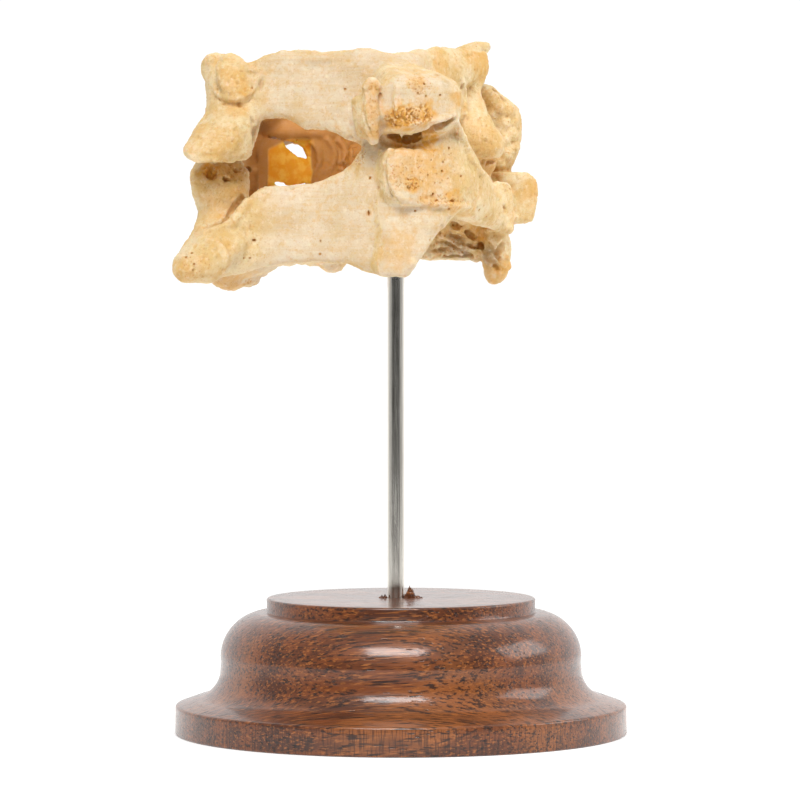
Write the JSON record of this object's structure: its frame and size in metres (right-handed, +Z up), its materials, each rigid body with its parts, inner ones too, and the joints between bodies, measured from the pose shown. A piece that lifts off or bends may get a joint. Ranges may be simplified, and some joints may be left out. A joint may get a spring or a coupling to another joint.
{
  "type": "mounted fused human cervical vertebrae",
  "caption": "Fused human neck vertebrae with broken spinous processes, held up on a slender steel rod in a turned round wooden base.",
  "frame": {"origin": "centre of the wooden base's flat underside", "axes": "+Z up along the rod; -Y towards the viewer of the picture, who looks at the bones from behind and a little to their left; +X to that viewer's right"},
  "size_m": [0.0639, 0.0695, 0.0984],
  "materials": {
    "bone": "dry old bone, ivory to ochre, dull with a faint sheen on the worn edges",
    "wood": "dark red-brown hardwood under a satin varnish",
    "steel": "plain drawn steel wire, bright"
  },
  "bodies": {
    "root": {"upper_body": "bone", "upper_spinous": "bone", "upper_lamina_left": "bone", "upper_lamina_right": "bone", "upper_pillar_left": "bone", "upper_pillar_right": "bone", "upper_transverse_left": "bone", "upper_transverse_right": "bone", "lower_body": "bone", "lower_spinous": "bone", "lower_lamina_left": "bone", "lower_lamina_right": "bone", "lower_pillar_left": "bone", "lower_pillar_right": "bone", "lower_transverse_left": "bone", "lower_transverse_right": "bone", "stand_base": "wood", "stand_rod": "steel"}
  },
  "joints": []
}
